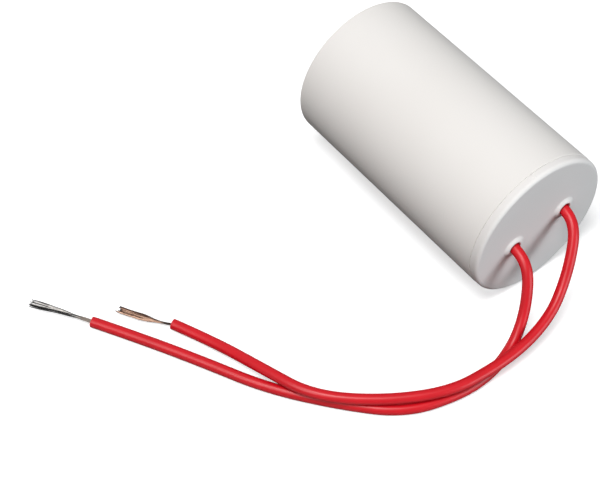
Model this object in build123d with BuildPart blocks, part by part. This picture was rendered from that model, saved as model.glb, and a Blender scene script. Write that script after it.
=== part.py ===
from build123d import *
import math
import os

os.makedirs("parts", exist_ok=True)

# Motor run capacitor in a round moulded can, lying on its side with its two leads on the same surface.
# Millimetres. +X runs along the can's axis towards the lid, +Z is up, and the surface is z = 0.
# The origin is on the surface, under the middle of the can and its lid.

# Can
can_diameter = 35.0
can_length = 60.0
case_wall = 1.3
case_base = 1.6
case_outer_round = 0.6
case_inner_round = 1.0
case_mouth_round = 0.15

# Lid: flange on the case's mouth, skirt in its bore, a raised collar round each lead
flange_thickness = 2.8
flange_round = 0.8
flange_set_in = 0.2
skirt_depth = 4.0
skirt_wall = 1.2
skirt_clearance = 0.1
lid_roll = 11.0
lead_pitch = 14.0
hole_clearance = 0.4
hole_mouth_round = 0.4
collar_width = 0.9
collar_height = 0.5
collar_round = 0.42
collar_foot_round = 0.4
gate_diameter = 1.0
gate_height = 0.06
gate_set_back = 0.7
gate_roll = 8.5

# Film roll, potted in the case
foot_room = 3.4
head_room = 7.0
resin_wall = 1.2
wrap_thickness = 0.5
spray_thickness = 0.6
core_diameter = 8.0
core_wall = 1.4

# Leads: insulated, fine stranded, stripped at the free end
lead_diameter = 2.4
strand_diameter = 0.2
strand_gap = 0.012
strands_in_ring = (1, 5, 10)
strand_twist = 40.0
strand_fan = 1.45
strand_stagger = 0.45
strand_lean = {"left": 0.5, "right": 1.6}
stripped_length = {"left": 15.2, "right": 12.9}
lead_embedded = 1.2
lead_straight = 4.5

# Soldered joints between the leads' inner tails and the sprayed ends of the roll
tail_diameter = 1.0
tail_set_in = 1.8
tail_core_entry = 1.6
tail_stand_off = 1.2
tail_overrun = 0.8
solder_diameter = 4.2
solder_height = {"left": 1.4, "right": 2.3}
solder_reach = 7.6
solder_taper = 25.0
solder_round = 0.6

# Share of a run that the arc at its end may take up
corner_share = 0.45

# Heights and stations worked out from the sizes above
axis_height = can_diameter / 2
can_radius = can_diameter / 2
bore_radius = can_radius - case_wall
base_face = -(can_length + collar_height) / 2
lid_face = base_face + can_length
joint_face = lid_face - flange_thickness
base_inside = base_face + case_base
skirt_end = joint_face - skirt_depth
resin_top = skirt_end
roll_base = base_inside + foot_room
roll_top = resin_top - head_room
wrap_radius = bore_radius - resin_wall
film_radius = wrap_radius - wrap_thickness
core_radius = core_diameter / 2
lead_radius = lead_diameter / 2
hole_radius = lead_radius + hole_clearance
lead_end_inside = resin_top - lead_embedded

can_axis = Plane(origin=(0, 0, axis_height), x_dir=(0, 1, 0), z_dir=(1, 0, 0))
across_holes = Vector(0, 1, 0).rotate(Axis.X, lid_roll)
lid_axis = Plane(origin=can_axis.origin, x_dir=across_holes, z_dir=can_axis.z_dir)

# Places of the two lead holes on the rolled lid: left and right as seen facing the lid
hole_offset = {"left": -lead_pitch / 2, "right": lead_pitch / 2}


def on_lid(across, station):
    """Point on the line through both holes, at a distance across the axis and a station along it."""
    return lid_axis.offset(station).from_local_coords(Vector(across, 0, 0))


def corner_radii(points):
    """Largest tangent arc at each corner of a route."""
    radii = []
    for before, corner, after in zip(points, points[1:], points[2:]):
        arriving = Vector(corner) - Vector(before)
        leaving = Vector(after) - Vector(corner)
        turn = math.radians(arriving.get_angle(leaving))
        shorter = min(arriving.length, leaving.length)
        radii.append(corner_share * shorter / math.tan(turn / 2))
    return radii


# Routes of the leads: out of the lid, down to the surface and along it. The right lead crosses over the left
# one and lies on top of it for a stretch before it comes down beside it.
free_route = {
    "left": [
        (31.4, -6.85, 15.85),
        (34.7, -7.5, 14.2),
        (37.1, -9.1, 10.9),
        (39.5, -11.9, 6.0),
        (41.6, -16.2, 2.1),
        (43.7, -23.5, 1.2),
        (43.8, -32.4, 1.2),
        (40.2, -44.4, 1.2),
        (30.7, -53.6, 1.2),
        (17.9, -63.4, 1.2),
        (4.6, -70.0, 1.2),
        (-7.6, -76.5, 1.2),
        (-18.3, -82.7, 1.2),
    ],
    "right": [
        (31.4, 6.86, 18.5),
        (34.6, 5.6, 16.75),
        (37.1, 3.0, 13.5),
        (39.6, -0.8, 9.1),
        (42.4, -6.6, 5.9),
        (44.1, -15.0, 4.3),
        (44.3, -24.4, 3.85),
        (43.1, -35.2, 3.7),
        (36.3, -47.5, 3.7),
        (26.7, -58.2, 3.95),
        (14.6, -62.0, 3.3),
        (1.9, -65.2, 1.2),
        (-7.3, -69.4, 1.2),
    ],
}
lead_route = {}
for side, free_points in free_route.items():
    inside = on_lid(hole_offset[side], lead_end_inside)
    straight_end = on_lid(hole_offset[side], lead_end_inside + lead_straight)
    lead_route[side] = [inside, straight_end] + [Vector(*point) for point in free_points]

# Case: moulded cup with a closed end
with BuildPart() as case:
    with BuildSketch(can_axis.offset(base_face)):
        Circle(can_radius)
    extrude(amount=joint_face - base_face)
    fillet(case.edges().group_by(Axis.X)[0], case_outer_round)
    with BuildSketch(can_axis.offset(base_inside)):
        Circle(bore_radius)
    extrude(amount=joint_face - base_inside, mode=Mode.SUBTRACT)
    inner_foot = case.edges().filter_by(GeomType.CIRCLE).filter_by_position(Axis.X, base_inside, base_inside)
    fillet(inner_foot, case_inner_round)
    mouth_rim = case.edges().group_by(Axis.X)[-1].sort_by(SortBy.RADIUS)[-1]
    fillet(mouth_rim, case_mouth_round)
case.part.label = "case"
export_step(case.part, "parts/case.step")

# Lid: rounded flange, skirt that plugs the case, two collared lead holes and the gate mark on its rim
with BuildPart() as lid:
    with BuildSketch(can_axis.offset(joint_face)):
        Circle(can_radius - flange_set_in)
    extrude(amount=flange_thickness)
    fillet(lid.edges().group_by(Axis.X)[-1], flange_round)
    with BuildSketch(can_axis.offset(skirt_end)):
        Circle(bore_radius - skirt_clearance)
        Circle(bore_radius - skirt_clearance - skirt_wall, mode=Mode.SUBTRACT)
    extrude(amount=skirt_depth)
    with BuildSketch(lid_axis.offset(lid_face)):
        with Locations(*[(offset, 0) for offset in hole_offset.values()]):
            Circle(hole_radius + hole_mouth_round + collar_width)
    extrude(amount=collar_height)
    collar_tops = lid.edges().group_by(Axis.X)[-1]
    fillet(collar_tops, collar_round)
    collar_feet = lid.edges().filter_by(GeomType.CIRCLE).filter_by_position(Axis.X, lid_face, lid_face)
    fillet(collar_feet.sort_by(SortBy.RADIUS)[:len(hole_offset)], collar_foot_round)
    with BuildSketch(lid_axis.offset(lid_face + collar_height)):
        with Locations(*[(offset, 0) for offset in hole_offset.values()]):
            Circle(hole_radius)
    extrude(amount=-(flange_thickness + collar_height), mode=Mode.SUBTRACT)
    hole_mouths = lid.edges().group_by(Axis.X)[-1].sort_by(SortBy.RADIUS)[:len(hole_offset)]
    fillet(hole_mouths, hole_mouth_round)
    gate_middle = can_axis.offset(joint_face + gate_set_back).origin
    gate_outward = Vector(0, 0, 1).rotate(Axis.X, gate_roll)
    with BuildSketch(Plane(gate_middle, x_dir=can_axis.z_dir, z_dir=gate_outward)):
        Circle(gate_diameter / 2)
    extrude(amount=can_radius + gate_height)
lid.part.label = "lid"
export_step(lid.part, "parts/lid.step")

# Leads: round insulated cords along their routes
lead_parts = {}
for side, points in lead_route.items():
    radii = corner_radii(points)
    with BuildPart() as lead:
        with BuildLine():
            route = FilletPolyline(*points, radius=radii)
        with BuildSketch(route ^ 0):
            Circle(lead_radius)
        sweep(path=route)
    lead.part.label = f"lead_{side}"
    export_step(lead.part, f"parts/lead_{side}.step")
    lead_parts[side] = lead.part
    section_times_length = math.pi * lead_radius ** 2 * route.length
    print(side, "lead length", round(route.length, 1))
    print(side, "arc radii", [round(radius, 1) for radius in radii])
    print(side, "volume over section times length", round(lead.part.volume / section_times_length, 4))

# Stripped ends: straight strands that leave the insulation in rings, twist a little and fan out to their tips
ring_step = strand_diameter + strand_gap
for side, points in lead_route.items():
    forward = (points[-1] - points[-2]).normalized()
    end_plane = Plane(origin=points[-1], x_dir=Vector(0, 0, 1).cross(forward), z_dir=forward)
    strand_number = 0
    with BuildPart() as strands:
        for ring, count in enumerate(strands_in_ring):
            for place in range(count):
                root_angle = 360 * place / count
                reach = stripped_length[side] - strand_stagger * (strand_number % len(strands_in_ring))
                root = Vector(ring * ring_step, 0, 0).rotate(Axis.Z, root_angle)
                tip = (root * strand_fan).rotate(Axis.Z, strand_twist) + Vector(strand_lean[side], 0, reach)
                run = end_plane.from_local_coords(tip) - end_plane.from_local_coords(root)
                with BuildSketch(end_plane):
                    with Locations((root.X, root.Y)):
                        Circle(strand_diameter / 2)
                extrude(amount=run.length, dir=run.normalized())
                strand_number += 1
    strands.part.label = f"strands_{side}"
    export_step(strands.part, f"parts/strands_{side}.step")

# Core: plastic tube that the film is wound on, flush with both sprayed ends
with BuildPart() as winding_core:
    with BuildSketch(can_axis.offset(roll_base)):
        Circle(core_radius)
        Circle(core_radius - core_wall, mode=Mode.SUBTRACT)
    extrude(amount=roll_top - roll_base)
winding_core.part.label = "winding_core"
export_step(winding_core.part, "parts/winding_core.step")

# Film winding: all the turns of metallised film as one roll
with BuildPart() as film_winding:
    with BuildSketch(can_axis.offset(roll_base + spray_thickness)):
        Circle(film_radius)
        Circle(core_radius, mode=Mode.SUBTRACT)
    extrude(amount=roll_top - roll_base - 2 * spray_thickness)
film_winding.part.label = "film_winding"
export_step(film_winding.part, "parts/film_winding.step")

# End sprays: zinc layers that join the edges of the film at each end of the roll
spray_station = {"end_spray_base": roll_base, "end_spray_lid": roll_top - spray_thickness}
for spray_name, station in spray_station.items():
    with BuildPart() as end_spray:
        with BuildSketch(can_axis.offset(station)):
            Circle(film_radius)
            Circle(core_radius, mode=Mode.SUBTRACT)
        extrude(amount=spray_thickness)
    end_spray.part.label = spray_name
    export_step(end_spray.part, f"parts/{spray_name}.step")

# Wrap: plain film sleeve round the roll and its sprayed ends
with BuildPart() as winding_wrap:
    with BuildSketch(can_axis.offset(roll_base)):
        Circle(wrap_radius)
        Circle(film_radius, mode=Mode.SUBTRACT)
    extrude(amount=roll_top - roll_base)
winding_wrap.part.label = "winding_wrap"
export_step(winding_wrap.part, "parts/winding_wrap.step")

# Tails: the leads' bare conductors inside the can. The left one goes straight to the sprayed end at the lid,
# the right one through the core to the sprayed end at the base.
tail_route = {
    "left": [
        on_lid(hole_offset["left"], lead_end_inside),
        on_lid(hole_offset["left"], roll_top),
    ],
    "right": [
        on_lid(hole_offset["right"], lead_end_inside),
        on_lid(hole_offset["right"], lead_end_inside - tail_set_in),
        on_lid(0, roll_top + tail_core_entry),
        on_lid(0, roll_base - tail_stand_off),
        on_lid(solder_reach + tail_overrun, roll_base - tail_stand_off),
    ],
}
tail_parts = {}
for side, points in tail_route.items():
    with BuildPart() as tail:
        with BuildLine():
            radii = corner_radii(points)
            if radii:
                route = FilletPolyline(*points, radius=radii)
            else:
                route = Line(*points)
        with BuildSketch(route ^ 0):
            Circle(tail_diameter / 2)
        sweep(path=route)
    tail.part.label = f"tail_{side}"
    export_step(tail.part, f"parts/tail_{side}.step")
    tail_parts[side] = tail.part

# Solder: a rounded blob round each tail on the sprayed end that it joins
solder_place = {
    "left": Plane(on_lid(hole_offset["left"], roll_top), x_dir=lid_axis.x_dir, z_dir=lid_axis.z_dir),
    "right": Plane(on_lid(solder_reach, roll_base), x_dir=lid_axis.x_dir, z_dir=-lid_axis.z_dir),
}
solder_parts = {}
for side, place in solder_place.items():
    with BuildPart() as solder:
        with BuildSketch(place):
            Circle(solder_diameter / 2)
        extrude(amount=solder_height[side], taper=solder_taper)
        blob_top = solder.faces().sort_by(Axis(place.origin, place.z_dir))[-1]
        fillet(blob_top.edges(), solder_round)
        add(tail_parts[side], mode=Mode.SUBTRACT)
    solder.part.label = f"solder_{side}"
    export_step(solder.part, f"parts/solder_{side}.step")
    solder_parts[side] = solder.part

# Potting resin: fills the case round the roll, the tails and the soldered joints up to the lid's skirt
with BuildPart() as potting_resin:
    with BuildSketch(can_axis.offset(base_inside)):
        Circle(bore_radius)
    extrude(amount=resin_top - base_inside)
    fillet(potting_resin.edges().group_by(Axis.X)[0], case_inner_round)
    with BuildSketch(can_axis.offset(roll_base)):
        Circle(wrap_radius)
    extrude(amount=roll_top - roll_base, mode=Mode.SUBTRACT)
    add(list(lead_parts.values()), mode=Mode.SUBTRACT)
    add(list(tail_parts.values()), mode=Mode.SUBTRACT)
    add(list(solder_parts.values()), mode=Mode.SUBTRACT)
potting_resin.part.label = "potting_resin"
export_step(potting_resin.part, "parts/potting_resin.step")
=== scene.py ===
import math

import bpy
import numpy as np
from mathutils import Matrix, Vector
from mathutils.geometry import tessellate_polygon


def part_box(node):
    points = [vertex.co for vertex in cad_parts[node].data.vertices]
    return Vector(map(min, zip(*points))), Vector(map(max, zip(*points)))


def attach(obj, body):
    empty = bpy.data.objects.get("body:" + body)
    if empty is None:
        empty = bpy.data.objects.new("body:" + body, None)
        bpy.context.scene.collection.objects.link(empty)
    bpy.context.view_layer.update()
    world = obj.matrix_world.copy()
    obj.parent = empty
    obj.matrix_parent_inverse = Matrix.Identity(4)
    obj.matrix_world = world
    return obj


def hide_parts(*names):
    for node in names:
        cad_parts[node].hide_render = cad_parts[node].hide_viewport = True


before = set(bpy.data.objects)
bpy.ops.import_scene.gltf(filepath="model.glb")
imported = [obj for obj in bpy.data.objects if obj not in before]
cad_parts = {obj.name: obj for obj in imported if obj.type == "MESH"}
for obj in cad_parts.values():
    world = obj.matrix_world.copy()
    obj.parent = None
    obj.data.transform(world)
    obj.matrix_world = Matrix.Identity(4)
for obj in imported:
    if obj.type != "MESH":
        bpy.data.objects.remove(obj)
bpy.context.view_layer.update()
mm = 0.001

# Viewpoint: the capacitor lies on a table and is seen from above, over the corner between its side and lid.
# The camera stands where the photograph's did, with the lens that gives a picture 600 pixels wide.
view_azimuth = math.radians(52.23)
view_elevation = math.radians(52.07)
view_distance = 340.99 * mm
view_target = Vector((3.967, -43.8, 17.5)) * mm
focal_pixels = 1638.99
picture_width_pixels = 600
nearest_seen = 10 * mm
towards_camera = Vector((
    math.cos(view_elevation) * math.sin(view_azimuth),
    -math.cos(view_elevation) * math.cos(view_azimuth),
    math.sin(view_elevation),
))
camera_data = bpy.data.cameras.new("table_camera")
camera_data.lens = camera_data.sensor_width * focal_pixels / picture_width_pixels
camera_data.clip_start = nearest_seen
camera = bpy.data.objects.new("table_camera", camera_data)
camera.location = view_target + view_distance * towards_camera
camera.rotation_euler = towards_camera.to_track_quat("Z", "Y").to_euler()
bpy.context.scene.collection.objects.link(camera)
bpy.context.scene.camera = camera
bpy.context.scene.view_settings.view_transform = "Standard"

# Case: a plain round cup, injection moulded in warm white plastic with a satin skin.
# It is open towards the lid, and its closed end is flat with a small rounded corner.
# The joint shows a little nearer the lid than in the solids.
case_low, case_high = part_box("case")
can_radius = (case_high[2] - case_low[2]) / 2
can_centre = np.array([0, 0, can_radius + case_low[2]])
along_can = np.array([1.0, 0, 0])
base_face = case_low[0]
joint_shift = 0.4 * mm
joint_face = case_high[0] + joint_shift
case_wall = 1.3 * mm
case_base = 1.6 * mm
case_outer_round = 0.6 * mm
case_inner_round = 1.0 * mm
case_mouth_round = 0.17 * mm
bore_radius = can_radius - case_wall
can_facets = 256
plastic_rough = (0.50, 0.62)
plastic_relief = 0.0006 * mm
plastic_coat = 0.03


def rounded(corners, radii):
    """Profile with rounded corners: each inner corner becomes an arc tangent to both of its sides, with a
    support point a quarter of the radius before it and after it. A radius of nothing keeps the corner."""
    arc_steps = 10
    corners = np.asarray(corners, float)
    share = np.linspace(0, 1, arc_steps + 1)[:, None]
    runs = [corners[:1]]
    for before, corner, after, radius in zip(corners, corners[1:], corners[2:], radii):
        if not radius:
            runs.append(corner[None])
            continue
        back = (before - corner) / np.linalg.norm(before - corner)
        ahead = (after - corner) / np.linalg.norm(after - corner)
        half = math.acos(np.clip(back @ ahead, -1, 1)) / 2
        reach = radius / math.tan(half)
        middle = corner + (back + ahead) / np.linalg.norm(back + ahead) * radius / math.sin(half)
        turn = math.pi - 2 * half
        first = corner + back * reach - middle
        last = corner + ahead * reach - middle
        arc = middle + (np.sin((1 - share) * turn) * first + np.sin(share * turn) * last) / math.sin(turn)
        support = radius / 4
        runs += [arc[:1] + back * support, arc, arc[-1:] + ahead * support]
    runs.append(corners[-1:])
    return np.vstack(runs)


def turned(profile, centre, axis, around):
    """Turned surface: point (i, j) is the profile's point i, at its station along the axis and its radius
    from it, carried j steps round. The axis points any way but along y. An end of no radius closes in a fan.
    Gives the points, the faces and the numbers of the points in each ring."""
    axis = np.asarray(axis, float)
    side = np.cross(axis, [0, 1, 0])
    side /= np.linalg.norm(side)
    angle = np.linspace(0, 2 * math.pi, around, endpoint=False)
    outward = np.cos(angle)[:, None] * side + np.sin(angle)[:, None] * np.cross(axis, side)
    has_ring = ~np.isclose(profile[:, 1], 0)
    body = profile[has_ring]
    points = (centre + body[:, None, :1] * axis + body[:, None, 1:] * outward).reshape(-1, 3)
    rings = np.arange(len(points)).reshape(len(body), around)
    ahead = np.roll(rings, -1, axis=1)
    faces = np.stack([rings[:-1], ahead[:-1], ahead[1:], rings[1:]], axis=-1).reshape(-1, 4).tolist()
    for end, order in ((0, -1), (-1, 1)):
        if not has_ring[end]:
            pole = np.full(around, len(points))
            points = np.vstack([points, centre + profile[end, 0] * axis])
            faces += np.stack([rings[end], ahead[end], pole], axis=-1)[:, ::order].tolist()
    return points, faces, rings


def new_piece(name, points, faces):
    """Mesh piece at the origin, smooth up to edges sharper than 35 degrees, riding on the one body."""
    sharp_edge = math.radians(35)
    mesh = bpy.data.meshes.new(name)
    mesh.from_pydata(np.asarray(points).tolist(), [], faces)
    mesh.validate()
    mesh.shade_smooth()
    mesh.set_sharp_from_angle(angle=sharp_edge)
    piece = bpy.data.objects.new(name, mesh)
    bpy.context.scene.collection.objects.link(piece)
    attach(piece, "root")
    return piece


def grain_group():
    """Node group for skins that differ a little from place to place: a slow drift, a fine grain and stretched
    scuffs, each a noise on Object coordinates at its own scale, put out as values round a half."""
    scuff_stretch = (1, 0.12, 0.12)
    group = bpy.data.node_groups.new("skin_grain", "ShaderNodeTree")
    nodes, links = group.nodes, group.links
    entry = nodes.new("NodeGroupInput")
    result = nodes.new("NodeGroupOutput")
    place = nodes.new("ShaderNodeTexCoord")
    stretch = nodes.new("ShaderNodeMapping")
    stretch.inputs["Scale"].default_value = scuff_stretch
    links.new(place.outputs["Object"], stretch.inputs["Vector"])
    for layer, detail, source in (
        ("Drift", 2.0, place.outputs["Object"]),
        ("Grain", 3.0, place.outputs["Object"]),
        ("Scuff", 4.0, stretch.outputs["Vector"]),
    ):
        group.interface.new_socket(f"{layer} Scale", in_out="INPUT", socket_type="NodeSocketFloat")
        group.interface.new_socket(layer, in_out="OUTPUT", socket_type="NodeSocketFloat")
        noise = nodes.new("ShaderNodeTexNoise")
        noise.inputs["Detail"].default_value = detail
        links.new(source, noise.inputs["Vector"])
        links.new(entry.outputs[f"{layer} Scale"], noise.inputs["Scale"])
        links.new(noise.outputs["Fac"], result.inputs[layer])
    return group


skin_grain = grain_group()


def grained_material(name, dark, light, rough, scales, relief, metallic=0.0, specular=0.5, coat=0.0):
    """Skin whose colour drifts between two tints, whose roughness follows drift and scuffs, and whose surface
    carries the fine grain as relief in metres. A coat, where there is one, has so high an index that it
    reflects nearly the same at every angle, and keeps the middle roughness."""
    tint_span = (0.3, 0.7)
    scuff_share = 0.6
    gloss_span = (0.45, 1.15)
    coat_index = 3.0
    material = bpy.data.materials.new(name)
    material.use_nodes = True
    nodes, links = material.node_tree.nodes, material.node_tree.links
    shader = nodes["Principled BSDF"]
    shader.inputs["Metallic"].default_value = metallic
    shader.inputs["Specular IOR Level"].default_value = specular
    shader.inputs["Coat Weight"].default_value = coat
    shader.inputs["Coat IOR"].default_value = coat_index
    shader.inputs["Coat Roughness"].default_value = sum(rough) / 2
    grain = nodes.new("ShaderNodeGroup")
    grain.node_tree = skin_grain
    for layer, scale in zip(("Drift", "Grain", "Scuff"), scales):
        grain.inputs[f"{layer} Scale"].default_value = scale
    tint = nodes.new("ShaderNodeValToRGB")
    for element, position, colour in zip(tint.color_ramp.elements, tint_span, (dark, light)):
        element.position = position
        element.color = (*colour, 1)
    blend = nodes.new("ShaderNodeMath")
    blend.operation = "MULTIPLY_ADD"
    blend.inputs[1].default_value = scuff_share
    gloss = nodes.new("ShaderNodeMapRange")
    gloss.inputs["From Min"].default_value, gloss.inputs["From Max"].default_value = gloss_span
    gloss.inputs["To Min"].default_value, gloss.inputs["To Max"].default_value = rough
    bump = nodes.new("ShaderNodeBump")
    bump.inputs["Strength"].default_value = 1
    bump.inputs["Distance"].default_value = relief
    links.new(grain.outputs["Drift"], tint.inputs["Fac"])
    links.new(grain.outputs["Scuff"], blend.inputs[0])
    links.new(grain.outputs["Drift"], blend.inputs[2])
    links.new(blend.outputs["Value"], gloss.inputs["Value"])
    links.new(grain.outputs["Grain"], bump.inputs["Height"])
    links.new(tint.outputs["Color"], shader.inputs["Base Color"])
    links.new(gloss.outputs["Result"], shader.inputs["Roughness"])
    links.new(bump.outputs["Normal"], shader.inputs["Normal"])
    return material


case_profile = rounded(
    [
        (base_face, 0),
        (base_face, can_radius),
        (joint_face, can_radius),
        (joint_face, bore_radius),
        (base_face + case_base, bore_radius),
        (base_face + case_base, 0),
    ],
    [case_outer_round, case_mouth_round, 0, case_inner_round],
)
case_points, case_faces, _ = turned(case_profile, can_centre, along_can, around=can_facets)
case_piece = new_piece("moulded_case", case_points, case_faces)
case_piece.data.materials.append(grained_material(
    "case_white_plastic", dark=(0.845, 0.815, 0.785), light=(0.865, 0.838, 0.81), rough=plastic_rough,
    scales=(40, 2400, 500), relief=plastic_relief, specular=0.0, coat=plastic_coat))
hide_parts("case")

# Lid: a second moulding of the same plastic. Its skirt plugs the case, its rounded flange closes the mouth,
# and a low collar stands round each lead's hole, with its crest close to the wire.
# The small round gate mark on its rim is where the mould was filled.
lid_low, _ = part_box("lid")
skirt_end = lid_low[0]
skirt_clearance = 0.1 * mm
skirt_radius = bore_radius - skirt_clearance
skirt_wall = 1.2 * mm
flange_thickness = 2.1 * mm
flange_round = 0.9 * mm
flange_back_round = 0.17 * mm
flange_set_in = 0.06 * mm
flange_radius = can_radius - flange_set_in
lid_face = joint_face + flange_thickness
lid_roll = math.radians(11)
lead_pitch = 14 * mm
lead_diameter = 2.4 * mm
hole_clearance = 0.3 * mm
hole_radius = lead_diameter / 2 + hole_clearance
hole_mouth_round = 0.12 * mm
collar_crest = 1.68 * mm
collar_radius = 3.0 * mm
collar_height = 0.55 * mm
collar_top = lid_face + collar_height
collar_steps = 24
collar_facets = 96
# The flat face and the flat underside are filled in between these rings.
face_ring = 14.6 * mm
underside_ring = 14.4 * mm
collar_ring = 4.2 * mm
across_lid = np.array([0, math.cos(lid_roll), math.sin(lid_roll)])
hole_centre = {
    "left": can_centre - lead_pitch / 2 * across_lid,
    "right": can_centre + lead_pitch / 2 * across_lid,
}
lid_profile = rounded(
    [
        (joint_face, underside_ring),
        (joint_face, skirt_radius - skirt_wall),
        (skirt_end, skirt_radius - skirt_wall),
        (skirt_end, skirt_radius),
        (joint_face, skirt_radius),
        (joint_face, flange_radius),
        (lid_face, flange_radius),
        (lid_face, face_ring),
    ],
    [0, 0, 0, 0, flange_back_round, flange_round],
)
slope = np.linspace(0, 1, collar_steps + 1)
collar_rise = collar_height * (1 - np.cos(math.pi * slope)) / 2
collar_reach = collar_radius + (collar_crest - collar_radius) * slope
collar_slope = np.column_stack([lid_face + collar_rise, collar_reach])
collar_bore = rounded(
    [(collar_top, collar_crest), (collar_top, hole_radius), (joint_face, hole_radius)], [hole_mouth_round])
collar_profile = np.vstack([[(lid_face, collar_ring)], collar_slope, collar_bore[1:]])


def capped(loops, outward):
    """Flat region inside the first loop and outside the others: its triangles, all facing the way given."""
    numbers = np.concatenate([ring for _, ring in loops])
    flat = [[Vector(point) for point in points] for points, _ in loops]
    corners = np.concatenate([points for points, _ in loops])
    triangles = np.array(tessellate_polygon(flat))
    first, second, third = (corners[triangles[:, corner]] for corner in range(3))
    wrong = np.cross(second - first, third - first) @ outward < 0
    triangles[wrong] = triangles[wrong][:, ::-1]
    return numbers[triangles].tolist()


lid_points, lid_faces, lid_rings = turned(lid_profile, can_centre, along_can, around=can_facets)
top_loops = [(lid_points[lid_rings[-1]], lid_rings[-1])]
under_loops = [(lid_points[lid_rings[0]], lid_rings[0])]
for centre in hole_centre.values():
    points, faces, rings = turned(collar_profile, centre, along_can, around=collar_facets)
    rings = rings + len(lid_points)
    lid_faces += (np.array(faces) + len(lid_points)).tolist()
    lid_points = np.vstack([lid_points, points])
    top_loops.append((lid_points[rings[0]], rings[0]))
    under_loops.append((lid_points[rings[-1]], rings[-1]))
lid_faces += capped(top_loops, along_can) + capped(under_loops, -along_can)

gate_radius = 0.5 * mm
gate_height = 0.06 * mm
gate_round = 0.1 * mm
gate_depth = 0.3 * mm
gate_facets = 32
gate_roll = math.radians(8.5)
gate_from_joint = 0.7 * mm
gate_centre = can_centre + (joint_face + gate_from_joint) * along_can
gate_outward = np.array([0, -math.sin(gate_roll), math.cos(gate_roll)])
gate_profile = rounded(
    [
        (flange_radius - gate_depth, gate_radius),
        (can_radius + gate_height, gate_radius),
        (can_radius + gate_height, 0),
    ],
    [gate_round],
)
gate_points, gate_faces, _ = turned(gate_profile, gate_centre, gate_outward, around=gate_facets)
lid_faces += [[number + len(lid_points) for number in face] for face in gate_faces]
lid_points = np.vstack([lid_points, gate_points])
lid_piece = new_piece("moulded_lid", lid_points, lid_faces)
lid_piece.data.materials.append(grained_material(
    "lid_white_plastic", dark=(0.840, 0.812, 0.790), light=(0.860, 0.835, 0.814), rough=plastic_rough,
    scales=(55, 2400, 700), relief=plastic_relief, specular=0.0, coat=plastic_coat))
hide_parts("lid")

# Leads: two flexible cords in extruded red PVC, potted in the can and led out through the lid. They bend down
# to the table and lie on it; the right one crosses over the left one. Both show from end to end.
lead_routes = {
    "left": [
        (21.75, -6.871, 16.164),
        (26.25, -6.871, 16.164),
        (31.4, -6.85, 15.85),
        (34.7, -7.5, 14.2),
        (37.1, -9.1, 10.9),
        (39.5, -11.9, 6.0),
        (41.6, -16.2, 2.1),
        (43.7, -23.5, 1.2),
        (43.8, -32.4, 1.2),
        (40.2, -44.4, 1.2),
        (30.7, -53.6, 1.2),
        (17.9, -63.4, 1.2),
        (4.6, -70.0, 1.2),
        (-7.6, -76.5, 1.2),
        (-18.3, -82.7, 1.2),
    ],
    "right": [
        (21.75, 6.871, 18.836),
        (26.25, 6.871, 18.836),
        (31.4, 6.86, 18.5),
        (34.6, 5.6, 16.75),
        (37.1, 3.0, 13.5),
        (39.6, -0.8, 9.1),
        (42.4, -6.6, 5.9),
        (44.1, -15.0, 4.3),
        (44.3, -24.4, 3.85),
        (43.1, -35.2, 3.7),
        (36.3, -47.5, 3.7),
        (26.7, -58.2, 3.95),
        (14.6, -62.0, 3.3),
        (1.9, -65.2, 1.2),
        (-7.3, -69.4, 1.2),
    ],
}
lead_round_steps = 10
lead_path_steps = 24
red_pvc = grained_material(
    "lead_red_pvc", dark=(0.57, 0.003, 0.010), light=(0.64, 0.005, 0.014), rough=(0.32, 0.40),
    scales=(160, 1800, 900), relief=0.0012 * mm, specular=0.0, coat=0.12)
leads = {}
for side, route in lead_routes.items():
    line = bpy.data.curves.new(f"red_lead_{side}", "CURVE")
    line.dimensions = "3D"
    line.bevel_depth = lead_diameter / 2
    line.bevel_resolution = lead_round_steps
    line.resolution_u = lead_path_steps
    line.use_fill_caps = True
    spline = line.splines.new("NURBS")
    spline.points.add(len(route) - 1)
    spline.points.foreach_set("co", np.column_stack([np.array(route) * mm, np.ones(len(route))]).ravel())
    spline.order_u = 3
    spline.use_endpoint_u = True
    line.materials.append(red_pvc)
    leads[side] = bpy.data.objects.new(f"red_lead_{side}", line)
    bpy.context.scene.collection.objects.link(leads[side])
    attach(leads[side], "root")
    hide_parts(f"lead_{side}")

# Stripped ends: sixteen fine copper strands each, tinned on the left lead and bare on the right one.
# They leave the cut insulation close together, twist about each other and fan out to uneven tips.
# A bundle's lengths are in millimetres. Each strand carries painted light and shade: its value goes from 0,
# painted fully dark as painted shade, to 1, painted in the light colour of a lit strand.
strand_count = 16
strand_radius = 0.1 * mm
strand_steps = 48
strand_sides = 8
bundle_look = {
    "left": dict(
        reach=15.1, lean=0.42, bend=1.5, rise=0.25, turns=0.2, root=0.34, tip=0.95, fan=(0.08, 0.95), seed=4),
    "right": dict(
        reach=12.9, lean=2.1, bend=0.75, rise=-0.2, turns=1.1, root=0.17, tip=0.85, fan=(0.12, 0.6), seed=9),
}
# Painted light and shade for each strand: low values paint the strand dark, standing in for shade on and
# between the strands; high values paint it light, like a lit strand.
strand_painted_light_and_shade = {
    "left": (0.15, 0.1, 0.1, 1.0, 1.0, 1.0, 0.0, 0.0, 1.0, 1.0, 0.9, 0.0, 0.0, 0.0, 0.0, 0.0),
    "right": (0.0, 0.0, 0.0, 0.1, 0.8, 0.0, 0.4, 1.0, 0.0, 0.6, 0.9, 0.0, 0.4, 1.0, 0.1, 0.6),
}


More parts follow.
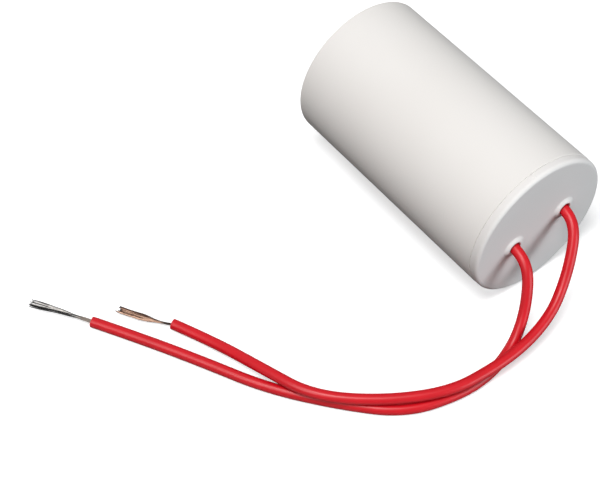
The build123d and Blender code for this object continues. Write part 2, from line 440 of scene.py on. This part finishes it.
def strand_material(name, root, dark, light, tip, rough):
    """Metal of a strand bundle with painted light and shade: each strand is painted between a dark colour,
    standing in for shade, and a light one, standing in for a lit strand. The root by the insulation and the
    cut tip get tints of their own, all read from the strands' own UV map of length and painted light and
    shade."""
    root_fade = (0.28, 0.16)
    tip_fade = (0.95, 0.99)
    material = grained_material(
        name, dark=(0.78, 0.78, 0.78), light=(1, 1, 1), rough=rough, scales=(900, 5000, 1500),
        relief=0.002 * mm, metallic=0.4, specular=0.15)
    nodes, links = material.node_tree.nodes, material.node_tree.links
    shader = nodes["Principled BSDF"]
    grain_colour = shader.inputs["Base Color"].links[0].from_socket
    place = nodes.new("ShaderNodeUVMap")
    place.uv_map = "strand_place"
    split = nodes.new("ShaderNodeSeparateXYZ")
    links.new(place.outputs["UV"], split.inputs["Vector"])
    # Painted light and shade: each strand's value picks its colour between the dark end, painted shade, and
    # the light end, a lit strand.
    tint = nodes.new("ShaderNodeValToRGB")
    for element, colour in zip(tint.color_ramp.elements, (dark, light)):
        element.color = (*colour, 1)
    links.new(split.outputs["Y"], tint.inputs["Fac"])
    colour = tint.outputs["Color"]
    # The root and tip tints are mixed in here; the right bundle's near-black root is painted shade.
    for end_colour, fade in ((root, root_fade), (tip, tip_fade)):
        share = nodes.new("ShaderNodeMapRange")
        share.inputs["From Min"].default_value, share.inputs["From Max"].default_value = fade
        links.new(split.outputs["X"], share.inputs["Value"])
        mix = nodes.new("ShaderNodeMix")
        mix.data_type = "RGBA"
        mix.inputs["B"].default_value = (*end_colour, 1)
        links.new(share.outputs["Result"], mix.inputs["Factor"])
        links.new(colour, mix.inputs["A"])
        colour = mix.outputs["Result"]
    grained = nodes.new("ShaderNodeMix")
    grained.data_type = "RGBA"
    grained.blend_type = "MULTIPLY"
    grained.inputs["Factor"].default_value = 1
    links.new(colour, grained.inputs["A"])
    links.new(grain_colour, grained.inputs["B"])
    links.new(grained.outputs["Result"], shader.inputs["Base Color"])
    return material


# Each bundle's dark colour is painted shade on and between the strands, its light colour a lit strand; the
# right bundle's near-black root is painted shade as well.
strand_skin = {
    "left": strand_material(
        "strand_tinned_painted_shade", root=(0.20, 0.165, 0.14), dark=(0.012, 0.011, 0.011), light=(0.70, 0.67, 0.64),
        tip=(0.10, 0.10, 0.10), rough=(0.22, 0.36)),
    "right": strand_material(
        "strand_copper_painted_shade", root=(0.03, 0.02, 0.015), dark=(0.05, 0.02, 0.012), light=(0.55, 0.34, 0.24),
        tip=(0.03, 0.02, 0.02), rough=(0.24, 0.40)),
}


def strand_paths(route, look, along):
    """Paths of a bundle's strands, one row of points each, at the shares of length given. A strand starts on
    a disc filled by the golden angle and turning as it goes, and moves over by a smooth step to its place in
    a flat row of two layers. The lean, the rise, a stray end and a slight wave carry it off its line."""
    golden_angle = math.pi * (3 - math.sqrt(5))
    angle_spread = 0.25
    length_spread = 0.9
    stray_spread = 0.16
    wave_height = 0.03
    wave_rate = (9, 16)
    wave_start = (0, 6)
    layer_height = 0.1
    hidden_root = 0.2
    draw = np.random.default_rng(look["seed"])
    column = (strand_count, 1)
    place = np.arange(strand_count)
    disc_angle = place * golden_angle + draw.uniform(-angle_spread, angle_spread, strand_count)
    length = look["reach"] - draw.uniform(0, length_spread, strand_count)
    stray = draw.uniform(-stray_spread, stray_spread, (2, *column)) * along ** 3
    wave = wave_height * np.sin(along * draw.uniform(*wave_rate, column) + draw.uniform(*wave_start, column))

    fan_start, fan_end = look["fan"]
    fanned = np.clip((along - fan_start) / (fan_end - fan_start), 0, 1)
    fanned = fanned * fanned * (3 - 2 * fanned)
    disc_radius = look["root"] * np.sqrt((place + 0.5) / strand_count)[:, None]
    disc_turn = disc_angle[:, None] + 2 * math.pi * look["turns"] * along
    row = look["tip"] * np.linspace(-1, 1, strand_count)[:, None]
    layer = np.where(place % 2, layer_height, -layer_height)[:, None]
    ahead = length[:, None] * along - hidden_root
    across = (1 - fanned) * disc_radius * np.cos(disc_turn) + fanned * row
    across = across + stray[0] + wave + look["lean"] * along ** look["bend"]
    height = (1 - fanned) * disc_radius * np.sin(disc_turn) + fanned * layer
    height = height + stray[1] + look["rise"] * np.sin(math.pi * along)

    forward = (route[-1] - route[-2]) / np.linalg.norm(route[-1] - route[-2])
    upward = np.array([0, 0, 1.0])
    sideways = np.cross(upward, forward)
    return route[-1] + mm * (
        ahead[..., None] * forward + across[..., None] * sideways + height[..., None] * upward)


def tubes(paths, radius, sides):
    """Round tubes along many paths at once: at each path point a circle stands square to the path, and each
    end closes in a fan on a point a little way out."""
    count, steps, _ = paths.shape
    heading = np.gradient(paths, axis=1)
    heading /= np.linalg.norm(heading, axis=2, keepdims=True)
    level = np.cross(heading, [0, 0, 1.0])
    level /= np.linalg.norm(level, axis=2, keepdims=True)
    upright = np.cross(level, heading)
    angle = np.linspace(0, 2 * math.pi, sides, endpoint=False)[:, None]
    circles = paths[:, :, None] + radius * (
        np.cos(angle) * level[:, :, None] + np.sin(angle) * upright[:, :, None])
    roots = paths[:, :1] - heading[:, :1] * radius / 2
    tips = paths[:, -1:] + heading[:, -1:] * radius / 2
    points = np.concatenate([circles.reshape(count, -1, 3), roots, tips], axis=1)
    numbers = np.arange(count * points.shape[1]).reshape(count, -1)
    rings = numbers[:, :-2].reshape(count, steps, sides)
    ahead = np.roll(rings, -1, axis=2)
    walls = np.stack([rings[:, :-1], ahead[:, :-1], ahead[:, 1:], rings[:, 1:]], axis=-1).reshape(-1, 4)
    root = np.broadcast_to(numbers[:, -2:-1], (count, sides))
    tip = np.broadcast_to(numbers[:, -1:], (count, sides))
    start = np.stack([ahead[:, 0], rings[:, 0], root], axis=-1).reshape(-1, 3)
    finish = np.stack([rings[:, -1], ahead[:, -1], tip], axis=-1).reshape(-1, 3)
    faces = [face for part in (walls, start, finish) for face in part[:, ::-1].tolist()]
    return points.reshape(-1, 3), faces


along_strand = np.linspace(0, 1, strand_steps)
point_along = np.append(np.repeat(along_strand, strand_sides), [0, 1])
for side, look in bundle_look.items():
    paths = strand_paths(np.array(lead_routes[side]) * mm, look, along_strand)
    points, faces = tubes(paths, strand_radius, strand_sides)
    bundle = new_piece(f"strand_bundle_{side}", points, faces)
    # The UV map holds the share of length and each strand's painted light and shade value.
    point_place = np.column_stack([
        np.tile(point_along, strand_count),
        np.repeat(strand_painted_light_and_shade[side], len(point_along)),
    ])
    corner_point = np.zeros(len(bundle.data.loops), int)
    bundle.data.loops.foreach_get("vertex_index", corner_point)
    bundle.data.uv_layers.new(name="strand_place").data.foreach_set("uv", point_place[corner_point].ravel())
    bundle.data.materials.append(strand_skin[side])
    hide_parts(f"strands_{side}")

# Inside the can: the wound film on its core, its sprayed ends, wrap, tails, solder and potting resin.
# They keep the solids' shapes and get the skins of film, sprayed zinc, solder and cast resin.
inner_skins = {
    "film": grained_material(
        "wound_film", dark=(0.55, 0.56, 0.58), light=(0.72, 0.73, 0.75), rough=(0.25, 0.4),
        scales=(300, 3000, 4000), relief=0.002 * mm, metallic=0.6),
    "core": grained_material(
        "core_tube", dark=(0.78, 0.78, 0.74), light=(0.85, 0.85, 0.81), rough=(0.5, 0.65),
        scales=(150, 2500, 900), relief=0.002 * mm),
    "zinc": grained_material(
        "sprayed_zinc", dark=(0.40, 0.41, 0.42), light=(0.62, 0.63, 0.64), rough=(0.6, 0.8),
        scales=(800, 3500, 1500), relief=0.05 * mm, metallic=0.8),
    "wrap": grained_material(
        "wrap_film", dark=(0.80, 0.80, 0.72), light=(0.86, 0.86, 0.80), rough=(0.2, 0.35),
        scales=(120, 2500, 1500), relief=0.002 * mm),
    "solder": grained_material(
        "soft_solder", dark=(0.60, 0.60, 0.61), light=(0.74, 0.74, 0.75), rough=(0.2, 0.4),
        scales=(700, 3000, 1500), relief=0.01 * mm, metallic=1.0),
    "resin": grained_material(
        "potting_resin", dark=(0.48, 0.41, 0.30), light=(0.58, 0.51, 0.39), rough=(0.25, 0.4),
        scales=(200, 2500, 900), relief=0.004 * mm),
    "tinned": grained_material(
        "tail_tinned", dark=(0.62, 0.60, 0.56), light=(0.86, 0.85, 0.82), rough=(0.22, 0.36),
        scales=(900, 5000, 1500), relief=0.002 * mm, metallic=1.0),
    "copper": grained_material(
        "tail_copper", dark=(0.60, 0.30, 0.19), light=(0.90, 0.58, 0.42), rough=(0.24, 0.40),
        scales=(900, 5000, 1500), relief=0.002 * mm, metallic=1.0),
}
inner_nodes = {
    "film_winding": "film",
    "winding_core": "core",
    "end_spray_base": "zinc",
    "end_spray_lid": "zinc",
    "winding_wrap": "wrap",
    "tail_left": "tinned",
    "tail_right": "copper",
    "solder_left": "solder",
    "solder_right": "solder",
    "potting_resin": "resin",
}
for node, skin in inner_nodes.items():
    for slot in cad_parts[node].material_slots:
        slot.material = inner_skins[skin]

# Table: a plain white top that runs out of view on every side and takes the shadows.
# It is seen white, in mirror-like skins too, and glows up to full white far from the can, while what it
# throws back on the can is that of a dark card.
table_reach = 3.0
table_rough = 0.9
table_seen = (0.80, 0.80, 0.80, 1)
table_thrown_back = (0.04, 0.04, 0.04, 1)
near_distance, far_distance = 0.3, 1.0
near_glow, far_glow = 0.50, 1.0


def seen_share(tree):
    """Mask for a surface or room that is seen otherwise than it lights: the greatest of the three marks for
    a ray from the camera, one by way of gloss and one through glass."""
    path = tree.nodes.new("ShaderNodeLightPath")
    seen = path.outputs["Is Camera Ray"]
    for kind in ("Is Glossy Ray", "Is Transmission Ray"):
        either = tree.nodes.new("ShaderNodeMath")
        either.operation = "MAXIMUM"
        tree.links.new(seen, either.inputs[0])
        tree.links.new(path.outputs[kind], either.inputs[1])
        seen = either.outputs["Value"]
    return seen


table_mesh = bpy.data.meshes.new("table_top")
table_mesh.from_pydata(
    [(-table_reach, -table_reach, 0), (table_reach, -table_reach, 0),
     (table_reach, table_reach, 0), (-table_reach, table_reach, 0)], [], [(0, 1, 2, 3)])
table = bpy.data.objects.new("table_top", table_mesh)
bpy.context.scene.collection.objects.link(table)
table_material = bpy.data.materials.new("table_white")
table_material.use_nodes = True
table_nodes, table_links = table_material.node_tree.nodes, table_material.node_tree.links
table_shader = table_nodes["Principled BSDF"]
table_shader.inputs["Roughness"].default_value = table_rough
table_shader.inputs["Specular IOR Level"].default_value = 0
table_shader.inputs["Emission Color"].default_value = (1, 1, 1, 1)
table_is_seen = seen_share(table_material.node_tree)
seen_colour = table_nodes.new("ShaderNodeMix")
seen_colour.data_type = "RGBA"
seen_colour.inputs["A"].default_value = table_thrown_back
seen_colour.inputs["B"].default_value = table_seen
table_place = table_nodes.new("ShaderNodeTexCoord")
from_object = table_nodes.new("ShaderNodeVectorMath")
from_object.operation = "LENGTH"
glow = table_nodes.new("ShaderNodeMapRange")
glow.inputs["From Min"].default_value = near_distance
glow.inputs["From Max"].default_value = far_distance
glow.inputs["To Min"].default_value = near_glow
glow.inputs["To Max"].default_value = far_glow
seen_glow = table_nodes.new("ShaderNodeMath")
seen_glow.operation = "MULTIPLY"
table_links.new(table_place.outputs["Object"], from_object.inputs[0])
table_links.new(from_object.outputs["Value"], glow.inputs["Value"])
table_links.new(table_is_seen, seen_glow.inputs[0])
table_links.new(glow.outputs["Result"], seen_glow.inputs[1])
table_links.new(table_is_seen, seen_colour.inputs["Factor"])
table_links.new(seen_glow.outputs["Value"], table_shader.inputs["Emission Strength"])
table_links.new(seen_colour.outputs["Result"], table_shader.inputs["Base Color"])
table_mesh.materials.append(table_material)

# Light: four softboxes in a dim room, nearly overhead, by the camera, low beyond the lid and low beyond the
# closed end. The room is seen white, as the table is, though it lights the object little.
# A softbox's brightness is that of a white surface which faces it.
room_light, room_seen = 0.04, 1.0
room = bpy.data.worlds.new("studio_room")
bpy.context.scene.world = room
room.use_nodes = True
room_nodes, room_links = room.node_tree.nodes, room.node_tree.links
room_shader = room_nodes["Background"]
room_shader.inputs["Color"].default_value = (1, 1, 1, 1)
room_strength = room_nodes.new("ShaderNodeMapRange")
room_strength.inputs["To Min"].default_value = room_light
room_strength.inputs["To Max"].default_value = room_seen
room_links.new(seen_share(room.node_tree), room_strength.inputs["Value"])
room_links.new(room_strength.outputs["Result"], room_shader.inputs["Strength"])
lamp_aim = Vector((5, -20, 12)) * mm
for name, direction, distance, size, brightness, colour in (
    ("overhead_softbox", (0.10, -0.23, 0.755), 0.9, 0.30, 0.66, (1, 1, 1)),
    ("camera_softbox", (0.03, -0.18, 0.18), 0.9, 0.30, 0.31, (1, 1, 1)),
    ("lid_softbox", (0.42, 0.18, 0.09), 0.8, 0.46, 0.62, (0.885, 0.95, 1)),
    ("base_softbox", (-0.36, 0.05, 0.06), 0.9, 0.50, 0.37, (1, 1, 1)),
):
    lamp_data = bpy.data.lights.new(name, "AREA")
    lamp_data.size = size
    lamp_data.color = colour
    lamp_data.energy = brightness * math.pi * distance ** 2 * math.pi
    lamp = bpy.data.objects.new(name, lamp_data)
    lamp_direction = Vector(direction).normalized()
    lamp.location = lamp_aim + distance * lamp_direction
    lamp.rotation_euler = lamp_direction.to_track_quat("Z", "Y").to_euler()
    bpy.context.scene.collection.objects.link(lamp)
